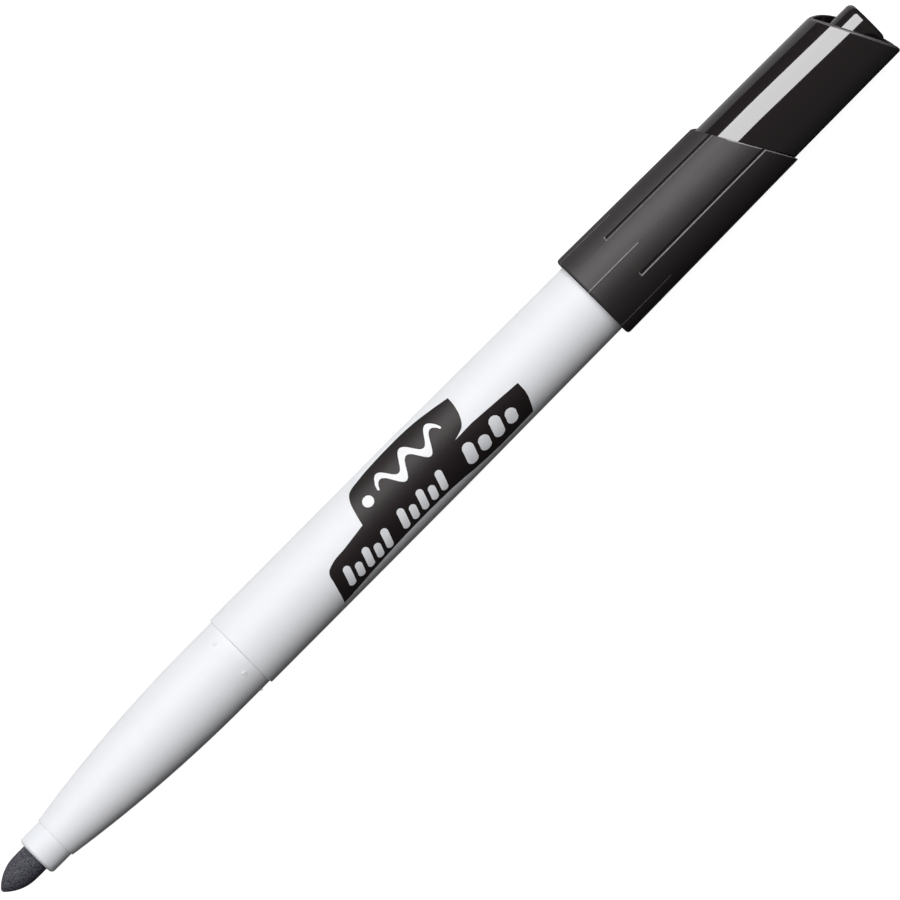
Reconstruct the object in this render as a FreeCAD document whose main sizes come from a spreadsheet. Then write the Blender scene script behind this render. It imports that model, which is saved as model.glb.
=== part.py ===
"""Slim whiteboard marker with its cap posted on the tail, lying along +X with the nib at -X.

Every piece is drawn about the X axis with its stations counted from the nib's tip, and its
placement then centres the marker on the origin and lifts it until the cap's lip touches z = 0.
"""
import FreeCAD, Part
import math
import os
import re

import Sketcher

# name, size in millimetres (or degrees, or a count), meaning
SIZES = [
    ("nib_reach", 6.2, "nib standing out of its collar"),
    ("nib_radius", 2.1, "felt nib"),
    ("nib_ogive", 4.4, "length of the bullet point"),
    ("nib_tip_flat", 0.2, "radius of the small flat at the tip"),
    ("nib_tip_round", 0.2, "rounding of the tip"),
    ("nib_bite", 8.0, "nib's tail inside the reservoir"),
    ("nib_tail_chamfer", 0.6, "lead-in at the nib's tail"),
    ("collar_length", 3.64, "collar flange, along the axis"),
    ("collar_flange", 0.35, "collar flange, proud of its shank"),
    ("collar_round", 0.6, "front edge of the collar"),
    ("collar_lead_in", 0.15, "chamfer where the nib leaves the collar"),
    ("shank_length", 11.0, "collar shank inside the section"),
    ("shank_wall", 0.55, "collar shank around the nib"),
    ("vent_depth", 0.3, "air grooves along the shank"),
    ("vent_angle", 26.0, "width of each air groove, degrees"),
    ("vent_count", 4, "air grooves"),
    ("section_length", 34.16, "writing section, collar to barrel"),
    ("section_straight", 4.16, "parallel stretch of the section beside the barrel"),
    ("section_front_step", 0.18, "section proud of the collar"),
    ("section_rear_step", 0.29, "barrel proud of the section"),
    ("section_front_round", 0.08, "front edge of the section"),
    ("section_bore_cone", 11.0, "bore widening behind the collar shank"),
    ("spigot_length", 12.0, "section's spigot inside the barrel"),
    ("spigot_wall", 0.7, "wall of that spigot"),
    ("bead_setback", 1.6, "snap beads ahead of the barrel's edge"),
    ("bead_width", 0.5, "snap bead, along the axis"),
    ("bead_height", 0.18, "snap bead, proud of the section"),
    ("bead_angle", 9.0, "snap bead, around the axis, degrees"),
    ("bead_turn", 27.0, "first snap bead, from the top towards -Y, degrees"),
    ("bead_count", 6, "snap beads"),
    ("barrel_length", 84.0, "barrel tube"),
    ("barrel_straight", 36.0, "parallel front stretch of the barrel"),
    ("barrel_radius", 5.7, "barrel's parallel stretch"),
    ("barrel_taper", 0.29, "radius lost from there to the tail"),
    ("barrel_wall", 0.85, "wall of the parallel stretch"),
    ("barrel_edge_round", 0.15, "both ends of the barrel"),
    ("plug_flange", 1.0, "rear plug's flange, along the axis"),
    ("plug_inset", 0.21, "flange inside the barrel's outline"),
    ("plug_shank", 8.0, "rear plug's shank inside the barrel"),
    ("plug_wall", 1.65, "wall of that shank"),
    ("plug_round", 0.3, "outer edge of the plug's flange"),
    ("core_room", 2.16, "reservoir behind the end of the section's cone"),
    ("core_clearance", 0.25, "wrapped reservoir inside the section's spigot"),
    ("film_thickness", 0.1, "film wrapped around the fibre core"),
    ("breather_radius", 0.6, "breather tube"),
    ("breather_wall", 0.2, "wall of the breather tube"),
    ("breather_gap", 0.1, "fibre around the breather tube"),
    ("breather_cover", 0.05, "breather tube inside the film"),
    ("posted_depth", 20.2, "tail inside the posted cap"),
    ("posted_gap", 0.05, "radial gap between the cap's bore and the barrel at the cap's mouth"),
    ("stop_gap", 0.3, "tail to the stop inside the cap"),
    ("cap_end_room", 7.2, "cap beyond the nib's tip when it is on the nib"),
    ("sleeve_wall", 1.04, "sleeve at its mouth"),
    ("sleeve_rim_wall", 0.44, "sleeve at its rim, around the shell"),
    ("sleeve_length", 31.7, "sleeve, mouth to the high side of its rim"),
    ("sleeve_lip_round", 0.4, "outer edge of the mouth"),
    ("sleeve_lead_in", 0.25, "chamfer inside the mouth"),
    ("sleeve_cut_setback", 3.6, "slanted rim on the axis, from the rim's high side"),
    ("sleeve_cut_slope", 0.575, "slant of the sleeve's rim, run over rise"),
    ("sleeve_cut_turn", 90.0, "low side of the sleeve's rim, from the top towards +Y, degrees"),
    ("slot_start", 6.6, "grip slots, from the mouth"),
    ("slot_width", 0.27, "grip slot"),
    ("slot_depth", 0.18, "grip slot"),
    ("slot_turn", 20.4, "first grip slot, from the top towards -Y, degrees"),
    ("slot_count", 6, "grip slots"),
    ("shell_step", 0.27, "shell proud of the cap's bore"),
    ("shell_taper", 0.1, "radius lost from the sleeve to the open end"),
    ("shell_wall", 0.8, "wall of the cap shell inside the sleeve"),
    ("shell_cut_setback", 2.08, "slanted end on the axis, from the end's high side"),
    ("shell_cut_slope", 0.538, "slant of the shell's end, run over rise"),
    ("shell_cut_turn", 72.0, "low side of the shell's end, from the top towards +Y, degrees"),
    ("liner_gap", 0.34, "liner's mouth from the section when the cap is on the nib"),
    ("liner_overlap", 0.96, "liner's wide bore beyond the collar then"),
    ("liner_seal_gap", 0.03, "liner's bore around the collar"),
    ("liner_wall", 0.85, "wall of the liner"),
    ("liner_neck", 1.2, "cone between the liner's skirt and its post"),
    ("nib_room", 0.34, "liner's narrow bore around the nib"),
    ("post_recess", 0.3, "post's end behind the high side of the shell's end"),
    ("post_round", 0.8, "edge of the post's end"),
    ("rib_start", 1.2, "liner's ribs, from the liner's mouth"),
    ("rib_length", 6.5, "liner's ribs, along the axis"),
    ("rib_angle", 9.0, "liner's rib, around the axis, degrees"),
    ("rib_count", 4, "liner's ribs"),
]

# stations and radii that follow from the sizes above
DERIVED = {
    "section_front": "nib_reach + collar_length",
    "shank_end": "section_front + shank_length",
    "core_front": "shank_end + section_bore_cone + core_room",
    "nib_tail": "core_front + nib_bite",
    "barrel_front": "section_front + section_length",
    "bead_middle": "barrel_front - bead_setback",
    "spigot_end": "barrel_front + spigot_length",
    "taper_start": "barrel_front + barrel_straight",
    "barrel_rear": "barrel_front + barrel_length",
    "plug_rear": "barrel_rear + plug_flange",
    "core_rear": "barrel_rear - plug_shank",
    "cap_mouth": "plug_rear - posted_depth",
    "sleeve_end": "cap_mouth + sleeve_length",
    "shell_seat": "plug_rear + stop_gap",
    "cap_end": "cap_mouth + barrel_front + cap_end_room",
    "liner_mouth": "cap_mouth + section_length + liner_gap",
    "skirt_end": "liner_mouth + collar_length + liner_overlap",
    "neck_end": "skirt_end + liner_neck",
    "post_end": "cap_end - post_recess",
    "shank_radius": "nib_radius + shank_wall",
    "collar_radius": "shank_radius + collar_flange",
    "section_front_radius": "collar_radius + section_front_step",
    "section_radius": "barrel_radius - section_rear_step",
    "barrel_bore": "barrel_radius - barrel_wall",
    "barrel_tail_radius": "barrel_radius - barrel_taper",
    "tail_draft": "barrel_taper / (barrel_rear - taper_start)",
    "plug_radius": "barrel_tail_radius - plug_inset",
    "core_bore": "barrel_bore - spigot_wall",
    "film_radius": "core_bore - core_clearance",
    "core_radius": "film_radius - film_thickness",
    "breather_offset": "core_radius - breather_cover - breather_radius",
    "cap_bore": "barrel_radius - tail_draft * (cap_mouth - taper_start) + posted_gap",
    "sleeve_mouth_radius": "cap_bore + sleeve_wall",
    "shell_radius": "cap_bore + shell_step",
    "shell_end_radius": "shell_radius - shell_taper",
    "shell_bore": "shell_radius - shell_wall",
    "sleeve_rim_radius": "shell_radius + sleeve_rim_wall",
    "sleeve_draft": "(sleeve_mouth_radius - sleeve_rim_radius) / sleeve_length",
    "liner_bore": "collar_radius + liner_seal_gap",
    "skirt_radius": "liner_bore + liner_wall",
    "post_bore": "nib_radius + nib_room",
    "post_radius": "post_bore + liner_wall",
}

NAMES = {name for name, _, _ in SIZES}
doc = FreeCAD.newDocument("whiteboard_marker")
sheet = doc.addObject("Spreadsheet::Sheet", "Sizes")


def fill_sheet():
    """Writes one named size per row: its meaning, then its value."""
    for row, (name, size, meaning) in enumerate(SIZES, start=1):
        sheet.set(f"A{row}", meaning)
        sheet.set(f"B{row}", str(size))
        sheet.setAlias(f"B{row}", name)
    doc.recompute()


def bound(formula):
    """Turns a formula of size names into one that reads the sheet."""
    def cell(match):
        word = match.group()
        if word in DERIVED:
            return f"({bound(DERIVED[word])})"
        return f"Sizes.{word}" if word in NAMES else word
    return re.sub(r"[a-z_]+", cell, formula)


def value(formula):
    """The formula's present value."""
    return float(sheet.evalExpression(bound(formula)))


def new_body(label):
    """An empty body, placed so that the marker is centred and its axis at the lip's height."""
    body = doc.addObject("PartDesign::Body", label)
    body.Label = label
    body.setExpression(".Placement.Base.x", bound("-cap_end / 2"))
    body.setExpression(".Placement.Base.z", bound("sleeve_mouth_radius"))
    return body


def origin_feature(body, role):
    """One of the body's own origin planes or axes."""
    return next(item for item in body.Origin.OriginFeatures if item.Role == role)


def plane_sketch(body, name, plane, turn="0", towards=1):
    """An empty sketch on one of the body's planes, turned about X by a formula in degrees."""
    sketch = body.newObject("Sketcher::SketchObject", name)
    sketch.AttachmentSupport = (origin_feature(body, plane), [""])
    sketch.MapMode = "FlatFace"
    tilt = FreeCAD.Rotation(FreeCAD.Vector(towards, 0, 0), value(turn))
    sketch.AttachmentOffset = FreeCAD.Placement(FreeCAD.Vector(0, 0, 0), tilt)
    return sketch


def bind(sketch, constraint, formula):
    """Adds a dimension and ties it to the sheet."""
    index = sketch.addConstraint(constraint)
    sketch.setExpression(f"Constraints[{index}]", bound(formula))


def fix_point(sketch, edge, end, station, radius):
    """Holds one end of an edge at a station along the axis and a distance from it."""
    if value(station) == 0:
        sketch.addConstraint(Sketcher.Constraint("PointOnObject", edge, end, -2))
    else:
        bind(sketch, Sketcher.Constraint("DistanceX", -1, 1, edge, end, value(station)), station)
    if value(radius) == 0:
        sketch.addConstraint(Sketcher.Constraint("PointOnObject", edge, end, -1))
    else:
        bind(sketch, Sketcher.Constraint("DistanceY", -1, 1, edge, end, value(radius)), radius)


def levelling_arc(start, end):
    """The arc that leaves start and is parallel to the axis where it reaches end."""
    run = end.x - start.x
    rise = end.y - start.y
    radius = (run ** 2 + rise ** 2) / (2 * rise)
    centre = FreeCAD.Vector(end.x, end.y - radius, 0)
    circle = Part.Circle(centre, FreeCAD.Vector(0, 0, 1), radius)
    return Part.ArcOfCircle(circle, math.pi / 2, math.pi / 2 + math.asin(run / radius))


def outline(body, name, corners, turn="0", towards=1):
    """A closed outline in a plane through the axis.

    Each corner is a station and a radius, as formulas. A third entry, "arc", makes the edge
    that arrives at that corner an arc that levels out there.
    """
    sketch = plane_sketch(body, name, "XZ_Plane", turn, towards)
    points = [FreeCAD.Vector(value(corner[0]), value(corner[1]), 0) for corner in corners]
    ends = []
    for index, corner in enumerate(corners):
        if corner[-1] == "arc":
            sketch.addGeometry(levelling_arc(points[index - 1], points[index]))
            ends.append((2, 1))
        else:
            sketch.addGeometry(Part.LineSegment(points[index - 1], points[index]))
            ends.append((1, 2))
    for index, corner in enumerate(corners):
        following = (index + 1) % len(corners)
        last = ends[index][1]
        sketch.addConstraint(Sketcher.Constraint("Coincident", index, last, following, ends[following][0]))
        fix_point(sketch, index, last, corner[0], corner[1])
        if corner[-1] == "arc":
            sketch.addConstraint(Sketcher.Constraint("Vertical", index, 3, index, 1))
    return sketch


def turned(body, name, corners, kind="Revolution", turn="0", angle="360"):
    """Revolves an outline about the axis, as new material or as a groove."""
    sketch = outline(body, name + "_outline", corners, turn)
    cutting = kind == "Groove"
    before = body.Shape.Volume if cutting else 0
    feature = body.newObject("PartDesign::" + kind, name)
    feature.Profile = (sketch, [""])
    feature.ReferenceAxis = (sketch, ["H_Axis"])
    feature.Midplane = angle != "360"
    feature.setExpression("Angle", bound(angle))
    doc.recompute()
    if cutting:
        expect_less(body, before, name)
    return feature


def expect_less(body, before, name):
    """Stops the build when a cut has removed nothing."""
    if body.Shape.Volume >= before:
        raise RuntimeError(f"{name} cuts nothing")


def around(body, name, feature, count):
    """Repeats a feature evenly about the axis."""
    pattern = body.newObject("PartDesign::PolarPattern", name)
    pattern.Originals = [feature]
    pattern.Axis = (origin_feature(body, "X_Axis"), [""])
    pattern.Angle = 360
    pattern.setExpression("Occurrences", bound(count))
    body.Tip = pattern
    doc.recompute()


def ring_edges(body, station, radius):
    """Names of the round edges about the axis at a station and a radius."""
    names = []
    tolerance = 1e-4
    shape = body.Tip.Shape
    for index, edge in enumerate(shape.Edges, start=1):
        if not isinstance(edge.Curve, Part.Circle):
            continue
        same_place = abs(edge.Curve.Center.x - value(station)) < tolerance
        same_size = abs(edge.Curve.Radius - value(radius)) < tolerance
        if same_place and same_size:
            names.append(f"Edge{index}")
    return names


def soften(body, name, station, radius, size, kind="Fillet"):
    """Rounds or chamfers the ring edge at a station and a radius."""
    edges = ring_edges(body, station, radius)
    if not edges:
        raise RuntimeError(f"{name} finds no edge")
    base = body.Tip
    feature = body.newObject("PartDesign::" + kind, name)
    feature.Base = (base, edges)
    feature.setExpression("Radius" if kind == "Fillet" else "Size", bound(size))
    doc.recompute()


def slanted_cut(body, name, crossing, slope, turn):
    """Cuts away all that lies beyond a slanted plane, low on the side that turn names."""
    reach = "2 * sleeve_mouth_radius"
    corners = [
        (f"{crossing} + {slope} * {reach}", f"-{reach}"),
        (f"cap_end + {reach}", f"-{reach}"),
        (f"cap_end + {reach}", reach),
        (f"{crossing} - {slope} * {reach}", reach),
    ]
    sketch = outline(body, name + "_outline", corners, turn, -1)
    before = body.Shape.Volume
    pocket = body.newObject("PartDesign::Pocket", name)
    pocket.Profile = (sketch, [""])
    pocket.Midplane = True
    pocket.setExpression("Length", bound(f"2 * {reach}"))
    doc.recompute()
    expect_less(body, before, name)


def make_nib():
    body = new_body("nib")
    turned(body, "nib_rod", [
        ("0", "0"),
        ("0", "nib_tip_flat"),
        ("nib_ogive", "nib_radius", "arc"),
        ("nib_tail", "nib_radius"),
        ("nib_tail", "0"),
    ])
    soften(body, "nib_point", "0", "nib_tip_flat", "nib_tip_round")
    soften(body, "nib_end", "nib_tail", "nib_radius", "nib_tail_chamfer", "Chamfer")
    return body


def make_nib_collar():
    """The flange fills the section's nose, and the shank behind it grips the nib."""
    body = new_body("nib_collar")
    turned(body, "collar_turning", [
        ("nib_reach", "nib_radius"),
        ("nib_reach", "collar_radius"),
        ("section_front", "collar_radius"),
        ("section_front", "shank_radius"),
        ("shank_end", "shank_radius"),
        ("shank_end", "nib_radius"),
    ])
    soften(body, "collar_edge", "nib_reach", "collar_radius", "collar_round")
    soften(body, "collar_mouth", "nib_reach", "nib_radius", "collar_lead_in", "Chamfer")
    vent = turned(body, "vent", [
        ("section_front", "shank_radius - vent_depth"),
        ("section_front", "shank_radius"),
        ("shank_end", "shank_radius"),
        ("shank_end", "shank_radius - vent_depth"),
    ], "Groove", angle="vent_angle")
    around(body, "vents", vent, "vent_count")
    return body


def make_front_section():
    body = new_body("front_section")
    turned(body, "section_turning", [
        ("section_front", "shank_radius"),
        ("section_front", "section_front_radius"),
        ("barrel_front - section_straight", "section_radius", "arc"),
        ("barrel_front", "section_radius"),
        ("barrel_front", "barrel_bore"),
        ("spigot_end", "barrel_bore"),
        ("spigot_end", "core_bore"),
        ("shank_end + section_bore_cone", "core_bore"),
        ("shank_end", "shank_radius"),
    ])
    soften(body, "section_edge", "section_front", "section_front_radius", "section_front_round")
    bead = turned(body, "bead", [
        ("bead_middle - bead_width / 2", "section_radius - bead_height"),
        ("bead_middle - bead_width / 4", "section_radius + bead_height"),
        ("bead_middle + bead_width / 4", "section_radius + bead_height"),
        ("bead_middle + bead_width / 2", "section_radius - bead_height"),
    ], turn="bead_turn", angle="bead_angle")
    around(body, "beads", bead, "bead_count")
    return body


def make_barrel():
    """A tube, parallel in front and drafted behind so that the posted cap wedges on it."""
    body = new_body("barrel")
    turned(body, "barrel_tube", [
        ("barrel_front", "barrel_bore"),
        ("barrel_front", "barrel_radius"),
        ("taper_start", "barrel_radius"),
        ("barrel_rear", "barrel_tail_radius"),
        ("barrel_rear", "barrel_bore"),
    ])
    soften(body, "barrel_front_edge", "barrel_front", "barrel_radius", "barrel_edge_round")
    soften(body, "barrel_rear_edge", "barrel_rear", "barrel_tail_radius", "barrel_edge_round")
    return body


def make_rear_plug():
    """Closes the barrel and holds the reservoir forwards."""
    body = new_body("rear_plug")
    turned(body, "plug_turning", [
        ("core_rear", "barrel_bore - plug_wall"),
        ("core_rear", "barrel_bore"),
        ("barrel_rear", "barrel_bore"),
        ("barrel_rear", "plug_radius"),
        ("plug_rear", "plug_radius"),
        ("plug_rear", "0"),
        ("barrel_rear", "0"),
        ("barrel_rear", "barrel_bore - plug_wall"),
    ])
    soften(body, "plug_edge", "plug_rear", "plug_radius", "plug_round")
    return body


def make_ink_reservoir():
    """The fibre core, with a socket for the nib's tail and a channel for the breather tube."""
    body = new_body("ink_reservoir")
    turned(body, "core_turning", [
        ("core_front", "nib_radius"),
        ("core_front", "core_radius"),
        ("core_rear", "core_radius"),
        ("core_rear", "0"),
        ("nib_tail", "0"),
        ("nib_tail", "nib_radius"),
    ])
    before = body.Shape.Volume
    sketch = ring_sketch(body, "channel_outline", ["breather_radius + breather_gap"])
    channel = body.newObject("PartDesign::Pocket", "channel")
    channel.Profile = (sketch, [""])
    channel.Midplane = True
    channel.setExpression("Length", bound("2 * cap_end"))
    doc.recompute()
    expect_less(body, before, "channel")
    return body


def ring_sketch(body, name, radii):
    """Circles across the axis around the breather tube's centre, which lies under the axis."""
    sketch = plane_sketch(body, name, "YZ_Plane")
    for index, radius in enumerate(radii):
        centre = FreeCAD.Vector(0, -value("breather_offset"), 0)
        circle = Part.Circle(centre, FreeCAD.Vector(0, 0, 1), value(radius))
        sketch.addGeometry(circle)
        sketch.addConstraint(Sketcher.Constraint("PointOnObject", index, 3, -2))
        bind(sketch, Sketcher.Constraint("DistanceY", index, 3, -1, 1, value("breather_offset")),
             "breather_offset")
        bind(sketch, Sketcher.Constraint("Radius", index, value(radius)), radius)
    return sketch


def make_reservoir_film():
    body = new_body("reservoir_film")
    turned(body, "film_tube", [
        ("core_front", "core_radius"),
        ("core_front", "film_radius"),
        ("core_rear", "film_radius"),
        ("core_rear", "core_radius"),
    ])
    return body


def make_breather_tube():
    """Lets air back into the barrel as ink leaves the reservoir."""
    body = new_body("breather_tube")
    sketch = ring_sketch(body, "tube_outline", ["breather_radius", "breather_radius - breather_wall"])
    sketch.setExpression(".AttachmentOffset.Base.z", bound("core_front"))
    pad = body.newObject("PartDesign::Pad", "tube")
    pad.Profile = (sketch, [""])
    pad.setExpression("Length", bound("core_rear - core_front"))
    doc.recompute()
    return body


def make_cap_sleeve():
    """The outer skirt of the cap: it slides over the barrel's tail and holds the shell."""
    body = new_body("cap_sleeve")
    turned(body, "sleeve_turning", [
        ("cap_mouth", "cap_bore"),
        ("cap_mouth", "sleeve_mouth_radius"),
        ("sleeve_end", "sleeve_rim_radius"),
        ("sleeve_end", "shell_radius"),
        ("shell_seat", "shell_radius"),
        ("shell_seat", "cap_bore"),
    ])
    soften(body, "sleeve_lip", "cap_mouth", "sleeve_mouth_radius", "sleeve_lip_round")
    soften(body, "sleeve_lead_in_cone", "cap_mouth", "cap_bore", "sleeve_lead_in", "Chamfer")
    slot_mouth = "sleeve_mouth_radius - sleeve_draft * slot_start"
    slot = turned(body, "slot", [
        ("cap_mouth + slot_start", f"{slot_mouth} - slot_depth"),
        ("cap_mouth + slot_start", f"{slot_mouth} + slot_depth"),
        ("sleeve_end", "sleeve_rim_radius + slot_depth"),
        ("sleeve_end", "sleeve_rim_radius - slot_depth"),
    ], "Groove", "slot_turn", "slot_width / sleeve_rim_radius * 180 / pi")
    around(body, "slots", slot, "slot_count")
    slanted_cut(body, "sleeve_slant", "sleeve_end - sleeve_cut_setback", "sleeve_cut_slope",
                "sleeve_cut_turn")
    return body


def make_cap_shell():
    """The glossy tube that seats in the sleeve; its lower edge stops the barrel's tail."""
    body = new_body("cap_shell")
    turned(body, "shell_turning", [
        ("shell_seat", "shell_bore"),
        ("shell_seat", "shell_radius"),
        ("sleeve_end", "shell_radius"),
        ("cap_end", "shell_end_radius"),
        ("cap_end", "shell_bore"),
    ])
    slanted_cut(body, "shell_slant", "cap_end - shell_cut_setback", "shell_cut_slope",
                "shell_cut_turn")
    return body


def make_cap_liner():
    """The inner cap that seals on the collar, closed at its end and held by ribs in the shell."""
    body = new_body("cap_liner")
    turned(body, "liner_turning", [
        ("liner_mouth", "liner_bore"),
        ("liner_mouth", "skirt_radius"),
        ("skirt_end", "skirt_radius"),
        ("neck_end", "post_radius"),
        ("post_end", "post_radius"),
        ("post_end", "0"),
        ("post_end - liner_wall", "0"),
        ("post_end - liner_wall", "post_bore"),
        ("neck_end", "post_bore"),
        ("skirt_end", "liner_bore"),
    ])
    soften(body, "post_edge", "post_end", "post_radius", "post_round")
    rib = turned(body, "rib", [
        ("liner_mouth + rib_start", "post_radius - liner_wall / 2"),
        ("liner_mouth + rib_start", "shell_bore"),
        ("liner_mouth + rib_start + rib_length", "shell_bore"),
        ("liner_mouth + rib_start + rib_length", "post_radius - liner_wall / 2"),
    ], angle="rib_angle")
    around(body, "ribs", rib, "rib_count")
    return body


def check_document(bodies):
    """Raises if anything in the document failed to build."""
    doc.recompute()
    for item in doc.Objects:
        if "Invalid" in item.State or "Error" in item.State:
            raise RuntimeError(f"{item.Name} is in state {item.State}")
    for body in bodies:
        if body.Shape.isNull() or not body.Shape.isValid() or not body.Shape.Solids:
            raise RuntimeError(f"{body.Label} has no valid solid")


def export(bodies):
    os.makedirs("parts", exist_ok=True)
    for body in bodies:
        body.Shape.exportStep(f"parts/{body.Label}.step")
        box = body.Shape.BoundBox
        print(f"{body.Label:16s} {len(body.Shape.Solids)} solid {body.Shape.Volume:9.2f} mm3"
              f"  x {box.XMin:7.2f} {box.XMax:7.2f}  z {box.ZMin:6.2f} {box.ZMax:6.2f}")


fill_sheet()
pieces = [
    make_nib(),
    make_nib_collar(),
    make_front_section(),
    make_barrel(),
    make_rear_plug(),
    make_ink_reservoir(),
    make_reservoir_film(),
    make_breather_tube(),
    make_cap_sleeve(),
    make_cap_shell(),
    make_cap_liner(),
]
check_document(pieces)
export(pieces)
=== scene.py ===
import math

import bmesh
import bpy
from mathutils import Matrix, Vector, noise


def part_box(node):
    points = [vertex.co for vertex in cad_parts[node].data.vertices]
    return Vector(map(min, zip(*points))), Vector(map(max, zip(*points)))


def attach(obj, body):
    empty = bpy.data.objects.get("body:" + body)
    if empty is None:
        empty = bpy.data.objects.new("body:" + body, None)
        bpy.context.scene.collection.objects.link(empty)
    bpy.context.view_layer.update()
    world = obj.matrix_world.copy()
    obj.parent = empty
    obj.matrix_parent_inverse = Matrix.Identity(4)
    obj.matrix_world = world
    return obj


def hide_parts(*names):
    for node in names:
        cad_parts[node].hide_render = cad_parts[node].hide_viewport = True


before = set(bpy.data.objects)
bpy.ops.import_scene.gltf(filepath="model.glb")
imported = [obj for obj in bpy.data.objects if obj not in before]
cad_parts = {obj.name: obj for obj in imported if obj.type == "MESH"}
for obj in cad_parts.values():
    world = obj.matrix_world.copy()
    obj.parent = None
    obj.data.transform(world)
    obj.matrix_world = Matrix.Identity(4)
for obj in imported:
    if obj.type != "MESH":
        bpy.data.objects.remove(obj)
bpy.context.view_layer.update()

# A slim whiteboard marker with its cap posted on the tail. Every piece is drawn in millimetres
# about the X axis, in the frame's own places along it, and is lifted to the marker's axis and
# brought to metres when it is finished. A turn is an angle round the axis, in degrees, from the
# top towards -Y.
MM = 0.001
SIDES = 150
COLUMN = 360 / SIDES
SMOOTH_ANGLE = 32

# how near a point has to be to count as there: in millimetres, then in degrees
CLOSE = 0.004
ON_WALL = 0.006
ON_RIM = 0.01
ROUGHLY = 0.05
LOOSELY = 0.1
SAME_TURN = 0.05

# sizes of the nib and its collar, in millimetres and degrees
NIB_RADIUS = 2.1
NIB_TIP_FLAT = 0.2
NIB_TIP_ROUND = 0.2
NIB_OGIVE = 4.4
NIB_OGIVE_RINGS = 30
NIB_BODY_RINGS = 26
NIB_TAIL_LEAD = 0.6
FIBRE_RELIEF = 0.03
FIBRE_ALONG = 2.2
FIBRE_ACROSS = 5.5
COLLAR_RADIUS = 3.0
COLLAR_ROUND = 0.6
COLLAR_LEAD_IN = 0.15
SHANK_RADIUS = 2.65
VENT_COUNT = 4
VENT_ANGLE = 26
VENT_DEPTH = 0.3

# the writing section and the barrel
SECTION_NOSE_RADIUS = 3.18
SECTION_NOSE_ROUND = 0.08
SECTION_RADIUS = 5.41
SECTION_RINGS = 48
SECTION_STRAIGHT = 4.16
SECTION_CONE = 11.0
SPIGOT_BORE = 4.15
BEAD_COUNT = 6
BEAD_SETBACK = 1.6
BEAD_WIDTH = 0.5
BEAD_TOP_SHARE = 0.5
BEAD_HEIGHT = 0.15
BEAD_TURN = 27.0
BEAD_HALF_ANGLE = 2.5
BARREL_RADIUS = 5.7
BARREL_TAIL_RADIUS = 5.41
BARREL_BORE = 4.85
BARREL_STRAIGHT = 36.0
BARREL_EDGE_ROUND = 0.15

# the cap's sleeve
SLEEVE_MOUTH_RADIUS = 6.616
SLEEVE_RIM_RADIUS = 6.286
SLEEVE_BORE = 5.576
SLEEVE_LIP_ROUND = 0.45
SLEEVE_LEAD_IN = 0.25
SLOT_COUNT = 6
SLOT_START = 6.6
SLOT_DEPTH = 0.28
SLOT_HALF_ANGLE = 1.9
SLOT_TURN = 20.4
SLOT_EDGE_ROUND = 0.14
WITNESS_COUNT = 6
WITNESS_LENGTH = 9.2
WITNESS_TURN = 52.8
WITNESS_HALF_WIDTH = 0.06
WITNESS_HEIGHT = 0.03

# the cap's shell and liner
SHELL_RADIUS = 5.846
SHELL_END_RADIUS = 5.746
SHELL_BORE = 5.046
LINER_BORE = 3.03
SKIRT_RADIUS = 3.88
SKIRT_LENGTH = 4.6
NECK_LENGTH = 1.2
POST_RADIUS = 3.29
POST_BORE = 2.44
POST_FLOOR = 0.85
POST_ROUND = 0.8
RIB_COUNT = 4
RIB_START = 1.2
RIB_LENGTH = 6.5
RIB_ANGLE = 9.6
RIM_ROUND = 0.35
RIM_INNER_ROUND = 0.14

# slanted ends: how far back the rim crosses the axis, how steeply it falls back towards +Y, and
# how far its underside stands out again
SLEEVE_SLANT = (3.6, 0.575, 0.12)
SHELL_SLANT = (2.65, 0.5, 0.25)
SLANT_EASE = 8.3

# the print: its height over the barrel, its ink's thickness, the width of the facets that it
# follows the barrel in, and how far its drawing is moved towards the nib
PRINT_LIFT = 0.02
PRINT_FILM = 0.03
PRINT_FACET = 0.3
PRINT_SETBACK = 0.28

# the camera, straight above the marker: width of the view, its middle in metres, and its turn
CAMERA_LENS = 800
CAMERA_SENSOR = 36
VIEW_WIDTH = 0.117
VIEW_MIDDLE = (0.00174, -0.00086)
VIEW_TURN = -45.14


def span(node):
    """First and last place of a CAD node along the marker, in millimetres."""
    low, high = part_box(node)
    return low.x / MM, high.x / MM


nib_tip, nib_tail = span("nib")
collar_front, shank_end = span("nib_collar")
section_front, spigot_end = span("front_section")
barrel_front, barrel_rear = span("barrel")
cap_mouth, sleeve_end = span("cap_sleeve")
shell_seat, shell_end = span("cap_shell")
liner_mouth, post_end = span("cap_liner")
barrel_low, barrel_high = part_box("barrel")
AXIS_HEIGHT = (barrel_low.z + barrel_high.z) / 2
taper_start = barrel_front + BARREL_STRAIGHT
BARREL_DRAFT = (BARREL_RADIUS - BARREL_TAIL_RADIUS) / (barrel_rear - taper_start)
SLEEVE_DRAFT = (SLEEVE_MOUTH_RADIUS - SLEEVE_RIM_RADIUS) / (sleeve_end - cap_mouth)
SHELL_DRAFT = (SHELL_RADIUS - SHELL_END_RADIUS) / (shell_end - sleeve_end)


# ---------------------------------------------------------------- mesh work

def deselect():
    """Leave whatever was being edited, with nothing selected."""
    if bpy.context.object and bpy.context.object.mode != "OBJECT":
        bpy.ops.object.mode_set(mode="OBJECT")
    bpy.ops.object.select_all(action="DESELECT")


def polar(point):
    """Place along the marker, distance from its axis and turn of a point."""
    return point.x, math.hypot(point.y, point.z), math.degrees(math.atan2(-point.y, point.z))


def near(value, target, room=CLOSE):
    return abs(value - target) < room


def off_turn(turn, first, count):
    """How far a turn is from the nearest of count places spread evenly round the axis."""
    pitch = 360 / count
    return abs((turn - first + pitch / 2) % pitch - pitch / 2)


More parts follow.
